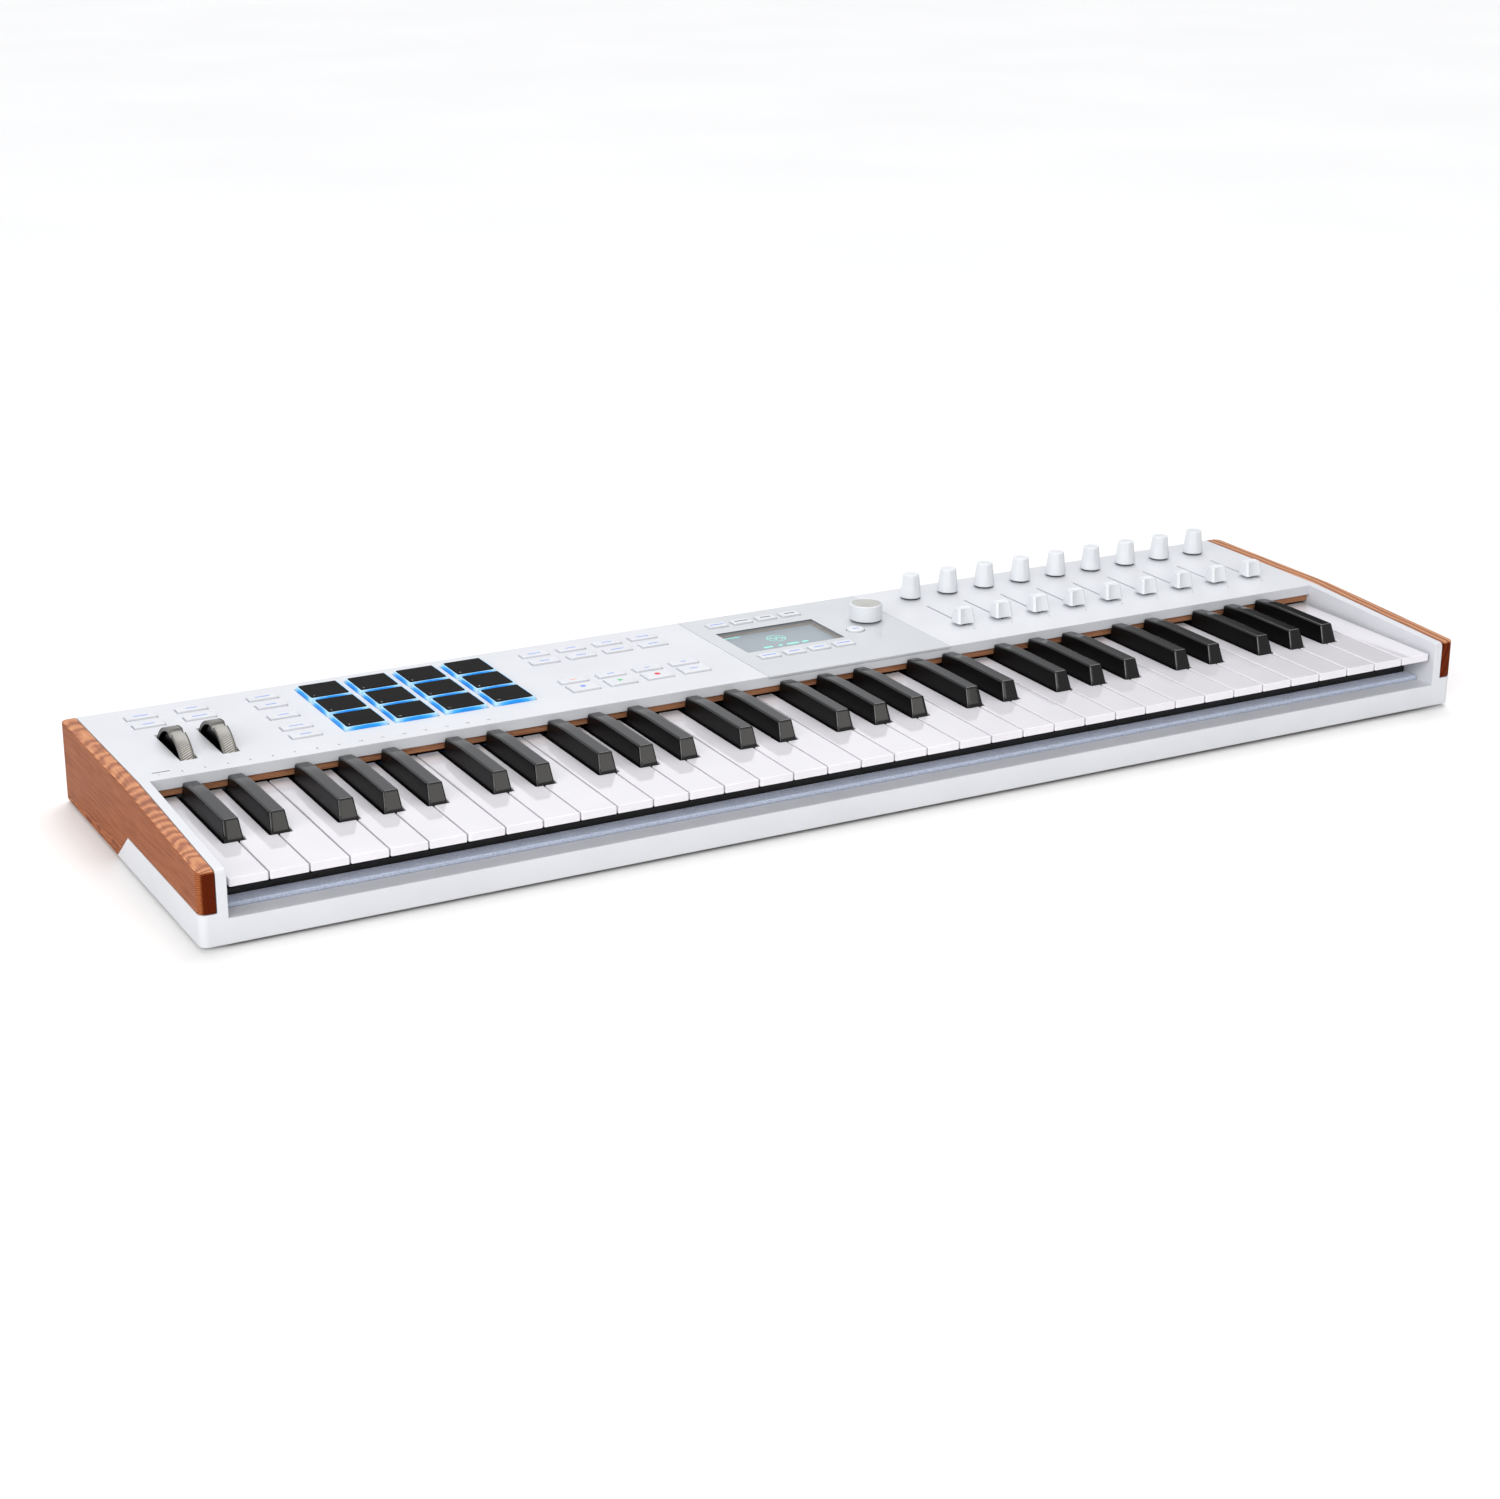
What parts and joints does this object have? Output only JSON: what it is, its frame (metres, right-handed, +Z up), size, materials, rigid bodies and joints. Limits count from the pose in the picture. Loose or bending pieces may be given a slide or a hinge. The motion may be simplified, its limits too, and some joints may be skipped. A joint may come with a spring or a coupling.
{
  "type": "synthesizer",
  "caption": "Keyboard synthesizer in a white case with wooden side cheeks, pitch and modulation wheels, lit pads, a glass-fronted screen, rotary knobs and slide faders.",
  "frame": {"origin": "middle of the footprint, on the surface that the rubber feet stand on", "axes": "+X to the player's right along the keyboard, +Y away from the player, +Z up"},
  "size_m": [0.8826, 0.262, 0.0702],
  "materials": {
    "case_white": "fine satin moulded ABS",
    "plate_steel": "light grey powder coat",
    "cheek_wood": "oiled reddish hardwood",
    "foot_rubber": "matt",
    "chassis_plastic": "matt black moulding",
    "felt": "blue grey wool felt",
    "circuit_board": "solder mask",
    "white_key": "polished",
    "black_key": "polished",
    "wheel_metal": "satin, knurled rim",
    "pad_rubber": "silicone, lit from below",
    "centre_glass": "back-painted, polished",
    "display": "liquid crystal display",
    "shaft_steel": "ground",
    "knob_metal": "turned cap"
  },
  "bodies": {
    "root": {"upper_case": "case_white", "bottom_plate": "plate_steel", "wood_cheek_left": "cheek_wood", "wood_cheek_right": "cheek_wood", "wood_strip": "cheek_wood", "rubber_foot_front_left": "foot_rubber", "rubber_foot_front_right": "foot_rubber", "rubber_foot_rear_left": "foot_rubber", "rubber_foot_rear_right": "foot_rubber", "keybed_chassis": "chassis_plastic", "felt_strip": "felt", "key_contact_board": "circuit_board", "centre_glass": "centre_glass", "display_module": "display", "control_board": "circuit_board", "main_board": "circuit_board", "socket_carrier": "chassis_plastic"},
    "white_keys_ceg_octave_1": {"white_keys_ceg_octave_1": "white_key"},
    "white_keys_ceg_octave_2": {"white_keys_ceg_octave_2": "white_key"},
    "white_keys_ceg_octave_3": {"white_keys_ceg_octave_3": "white_key"},
    "white_keys_ceg_octave_4": {"white_keys_ceg_octave_4": "white_key"},
    "white_keys_ceg_octave_5": {"white_keys_ceg_octave_5": "white_key"},
    "white_keys_dfa_octave_1": {"white_keys_dfa_octave_1": "white_key"},
    "white_keys_dfa_octave_2": {"white_keys_dfa_octave_2": "white_key"},
    "white_keys_dfa_octave_3": {"white_keys_dfa_octave_3": "white_key"},
    "white_keys_dfa_octave_4": {"white_keys_dfa_octave_4": "white_key"},
    "white_keys_dfa_octave_5": {"white_keys_dfa_octave_5": "white_key"},
    "sharp_keys_octave_1": {"sharp_keys_octave_1": "black_key"},
    "sharp_keys_octave_2": {"sharp_keys_octave_2": "black_key"},
    "sharp_keys_octave_3": {"sharp_keys_octave_3": "black_key"},
    "sharp_keys_octave_4": {"sharp_keys_octave_4": "black_key"},
    "sharp_keys_octave_5": {"sharp_keys_octave_5": "black_key"},
    "pitch_wheel": {"pitch_wheel": "wheel_metal"},
    "modulation_wheel": {"modulation_wheel": "wheel_metal"},
    "left_button_pad": {"left_button_pad": "case_white"},
    "mode_button_pad": {"mode_button_pad": "case_white"},
    "transport_button_pad": {"transport_button_pad": "case_white"},
    "screen_button_pad": {"screen_button_pad": "case_white"},
    "pad_mat": {"pad_mat": "pad_rubber"},
    "encoder_shaft": {"encoder_shaft": "shaft_steel"},
    "encoder_knob": {"encoder_knob": "knob_metal"},
    "channel_knob_1": {"channel_knob_1": "case_white"},
    "channel_knob_2": {"channel_knob_2": "case_white"},
    "channel_knob_3": {"channel_knob_3": "case_white"},
    "channel_knob_4": {"channel_knob_4": "case_white"},
    "channel_knob_5": {"channel_knob_5": "case_white"},
    "channel_knob_6": {"channel_knob_6": "case_white"},
    "channel_knob_7": {"channel_knob_7": "case_white"},
    "channel_knob_8": {"channel_knob_8": "case_white"},
    "channel_knob_9": {"channel_knob_9": "case_white"},
    "fader_cap_1": {"fader_cap_1": "case_white"},
    "fader_cap_2": {"fader_cap_2": "case_white"},
    "fader_cap_3": {"fader_cap_3": "case_white"},
    "fader_cap_4": {"fader_cap_4": "case_white"},
    "fader_cap_5": {"fader_cap_5": "case_white"},
    "fader_cap_6": {"fader_cap_6": "case_white"},
    "fader_cap_7": {"fader_cap_7": "case_white"},
    "fader_cap_8": {"fader_cap_8": "case_white"},
    "fader_cap_9": {"fader_cap_9": "case_white"},
    "power_switch": {"power_switch": "chassis_plastic"}
  },
  "joints": [
    {"name": "white_keys_ceg_octave_1_press", "type": "hinge", "parent": "root", "child": "white_keys_ceg_octave_1", "pos_m": [0, 0.0152, 0.026], "axis": [1, 0, 0], "range_deg": [0, 4], "stiffness_Nm_per_rad": 1.8, "springref_deg": -5.73},
    {"name": "white_keys_ceg_octave_2_press", "type": "hinge", "parent": "root", "child": "white_keys_ceg_octave_2", "pos_m": [0, 0.0152, 0.026], "axis": [1, 0, 0], "range_deg": [0, 4], "stiffness_Nm_per_rad": 1.8, "springref_deg": -5.73},
    {"name": "white_keys_ceg_octave_3_press", "type": "hinge", "parent": "root", "child": "white_keys_ceg_octave_3", "pos_m": [0, 0.0152, 0.026], "axis": [1, 0, 0], "range_deg": [0, 4], "stiffness_Nm_per_rad": 1.8, "springref_deg": -5.73},
    {"name": "white_keys_ceg_octave_4_press", "type": "hinge", "parent": "root", "child": "white_keys_ceg_octave_4", "pos_m": [0, 0.0152, 0.026], "axis": [1, 0, 0], "range_deg": [0, 4], "stiffness_Nm_per_rad": 1.8, "springref_deg": -5.73},
    {"name": "white_keys_ceg_octave_5_press", "type": "hinge", "parent": "root", "child": "white_keys_ceg_octave_5", "pos_m": [0, 0.0152, 0.026], "axis": [1, 0, 0], "range_deg": [0, 4], "stiffness_Nm_per_rad": 1.8, "springref_deg": -5.73},
    {"name": "white_keys_dfa_octave_1_press", "type": "hinge", "parent": "root", "child": "white_keys_dfa_octave_1", "pos_m": [0, 0.0152, 0.0307], "axis": [1, 0, 0], "range_deg": [0, 4], "stiffness_Nm_per_rad": 1.4, "springref_deg": -5.73},
    {"name": "white_keys_dfa_octave_2_press", "type": "hinge", "parent": "root", "child": "white_keys_dfa_octave_2", "pos_m": [0, 0.0152, 0.0307], "axis": [1, 0, 0], "range_deg": [0, 4], "stiffness_Nm_per_rad": 1.4, "springref_deg": -5.73},
    {"name": "white_keys_dfa_octave_3_press", "type": "hinge", "parent": "root", "child": "white_keys_dfa_octave_3", "pos_m": [0, 0.0152, 0.0307], "axis": [1, 0, 0], "range_deg": [0, 4], "stiffness_Nm_per_rad": 1.4, "springref_deg": -5.73},
    {"name": "white_keys_dfa_octave_4_press", "type": "hinge", "parent": "root", "child": "white_keys_dfa_octave_4", "pos_m": [0, 0.0152, 0.0307], "axis": [1, 0, 0], "range_deg": [0, 4], "stiffness_Nm_per_rad": 1.4, "springref_deg": -5.73},
    {"name": "white_keys_dfa_octave_5_press", "type": "hinge", "parent": "root", "child": "white_keys_dfa_octave_5", "pos_m": [0, 0.0152, 0.0307], "axis": [1, 0, 0], "range_deg": [0, 4], "stiffness_Nm_per_rad": 1.4, "springref_deg": -5.73},
    {"name": "sharp_keys_octave_1_press", "type": "hinge", "parent": "root", "child": "sharp_keys_octave_1", "pos_m": [0, 0.0152, 0.0354], "axis": [1, 0, 0], "range_deg": [0, 5.5], "stiffness_Nm_per_rad": 1.8, "springref_deg": -5.73},
    {"name": "sharp_keys_octave_2_press", "type": "hinge", "parent": "root", "child": "sharp_keys_octave_2", "pos_m": [0, 0.0152, 0.0354], "axis": [1, 0, 0], "range_deg": [0, 5.5], "stiffness_Nm_per_rad": 1.8, "springref_deg": -5.73},
    {"name": "sharp_keys_octave_3_press", "type": "hinge", "parent": "root", "child": "sharp_keys_octave_3", "pos_m": [0, 0.0152, 0.0354], "axis": [1, 0, 0], "range_deg": [0, 5.5], "stiffness_Nm_per_rad": 1.8, "springref_deg": -5.73},
    {"name": "sharp_keys_octave_4_press", "type": "hinge", "parent": "root", "child": "sharp_keys_octave_4", "pos_m": [0, 0.0152, 0.0354], "axis": [1, 0, 0], "range_deg": [0, 5.5], "stiffness_Nm_per_rad": 1.8, "springref_deg": -5.73},
    {"name": "sharp_keys_octave_5_press", "type": "hinge", "parent": "root", "child": "sharp_keys_octave_5", "pos_m": [0, 0.0152, 0.0354], "axis": [1, 0, 0], "range_deg": [0, 5.5], "stiffness_Nm_per_rad": 1.8, "springref_deg": -5.73},
    {"name": "pitch_wheel_turn", "type": "hinge", "parent": "root", "child": "pitch_wheel", "pos_m": [-0.3932, 0.05235, 0.0363], "axis": [1, 0, 0], "range_deg": [-30, 30], "stiffness_Nm_per_rad": 0.06},
    {"name": "modulation_wheel_turn", "type": "hinge", "parent": "root", "child": "modulation_wheel", "pos_m": [-0.36715, 0.05235, 0.0363], "axis": [1, 0, 0], "range_deg": [-30, 30]},
    {"name": "left_button_pad_press", "type": "slide", "parent": "root", "child": "left_button_pad", "axis": [0, 0, -1], "range_m": [0, 0.0008], "stiffness_N_per_m": 1500, "springref_m": -0.0004},
    {"name": "mode_button_pad_press", "type": "slide", "parent": "root", "child": "mode_button_pad", "axis": [0, 0, -1], "range_m": [0, 0.0008], "stiffness_N_per_m": 1500, "springref_m": -0.0004},
    {"name": "transport_button_pad_press", "type": "slide", "parent": "root", "child": "transport_button_pad", "axis": [0, 0, -1], "range_m": [0, 0.0008], "stiffness_N_per_m": 3000, "springref_m": -0.0005},
    {"name": "screen_button_pad_press", "type": "slide", "parent": "root", "child": "screen_button_pad", "axis": [0, 0, -1], "range_m": [0, 0.0008], "stiffness_N_per_m": 2500, "springref_m": -0.0005},
    {"name": "pad_mat_press", "type": "slide", "parent": "root", "child": "pad_mat", "axis": [0, 0, -1], "range_m": [0, 0.0008], "stiffness_N_per_m": 5000, "springref_m": -0.0006},
    {"name": "encoder_shaft_press", "type": "slide", "parent": "root", "child": "encoder_shaft", "axis": [0, 0, -1], "range_m": [0, 0.0006], "stiffness_N_per_m": 2500, "springref_m": -0.0005},
    {"name": "encoder_knob_turn", "type": "hinge", "parent": "encoder_shaft", "child": "encoder_knob", "pos_m": [0.1018, 0.078, 0.0595], "axis": [0, 0, 1], "continuous": true},
    {"name": "channel_knob_1_turn", "type": "hinge", "parent": "root", "child": "channel_knob_1", "pos_m": [0.156, 0.108, 0.062], "axis": [0, 0, 1], "continuous": true},
    {"name": "channel_knob_2_turn", "type": "hinge", "parent": "root", "child": "channel_knob_2", "pos_m": [0.1866, 0.108, 0.062], "axis": [0, 0, 1], "continuous": true},
    {"name": "channel_knob_3_turn", "type": "hinge", "parent": "root", "child": "channel_knob_3", "pos_m": [0.2172, 0.108, 0.062], "axis": [0, 0, 1], "continuous": true},
    {"name": "channel_knob_4_turn", "type": "hinge", "parent": "root", "child": "channel_knob_4", "pos_m": [0.2478, 0.108, 0.062], "axis": [0, 0, 1], "continuous": true},
    {"name": "channel_knob_5_turn", "type": "hinge", "parent": "root", "child": "channel_knob_5", "pos_m": [0.2784, 0.108, 0.062], "axis": [0, 0, 1], "continuous": true},
    {"name": "channel_knob_6_turn", "type": "hinge", "parent": "root", "child": "channel_knob_6", "pos_m": [0.309, 0.108, 0.062], "axis": [0, 0, 1], "continuous": true},
    {"name": "channel_knob_7_turn", "type": "hinge", "parent": "root", "child": "channel_knob_7", "pos_m": [0.3396, 0.108, 0.062], "axis": [0, 0, 1], "continuous": true},
    {"name": "channel_knob_8_turn", "type": "hinge", "parent": "root", "child": "channel_knob_8", "pos_m": [0.3702, 0.108, 0.062], "axis": [0, 0, 1], "continuous": true},
    {"name": "channel_knob_9_turn", "type": "hinge", "parent": "root", "child": "channel_knob_9", "pos_m": [0.4008, 0.108, 0.062], "axis": [0, 0, 1], "continuous": true},
    {"name": "fader_cap_1_slide", "type": "slide", "parent": "root", "child": "fader_cap_1", "axis": [0, 1, 0], "range_m": [0, 0.043]},
    {"name": "fader_cap_2_slide", "type": "slide", "parent": "root", "child": "fader_cap_2", "axis": [0, 1, 0], "range_m": [0, 0.043]},
    {"name": "fader_cap_3_slide", "type": "slide", "parent": "root", "child": "fader_cap_3", "axis": [0, 1, 0], "range_m": [0, 0.043]},
    {"name": "fader_cap_4_slide", "type": "slide", "parent": "root", "child": "fader_cap_4", "axis": [0, 1, 0], "range_m": [0, 0.043]},
    {"name": "fader_cap_5_slide", "type": "slide", "parent": "root", "child": "fader_cap_5", "axis": [0, 1, 0], "range_m": [0, 0.043]},
    {"name": "fader_cap_6_slide", "type": "slide", "parent": "root", "child": "fader_cap_6", "axis": [0, 1, 0], "range_m": [0, 0.043]},
    {"name": "fader_cap_7_slide", "type": "slide", "parent": "root", "child": "fader_cap_7", "axis": [0, 1, 0], "range_m": [0, 0.043]},
    {"name": "fader_cap_8_slide", "type": "slide", "parent": "root", "child": "fader_cap_8", "axis": [0, 1, 0], "range_m": [0, 0.043]},
    {"name": "fader_cap_9_slide", "type": "slide", "parent": "root", "child": "fader_cap_9", "axis": [0, 1, 0], "range_m": [0, 0.043]},
    {"name": "power_switch_rock", "type": "hinge", "parent": "root", "child": "power_switch", "pos_m": [-0.3925, 0.122, 0.024], "axis": [1, 0, 0], "range_deg": [0, 14]}
  ]
}
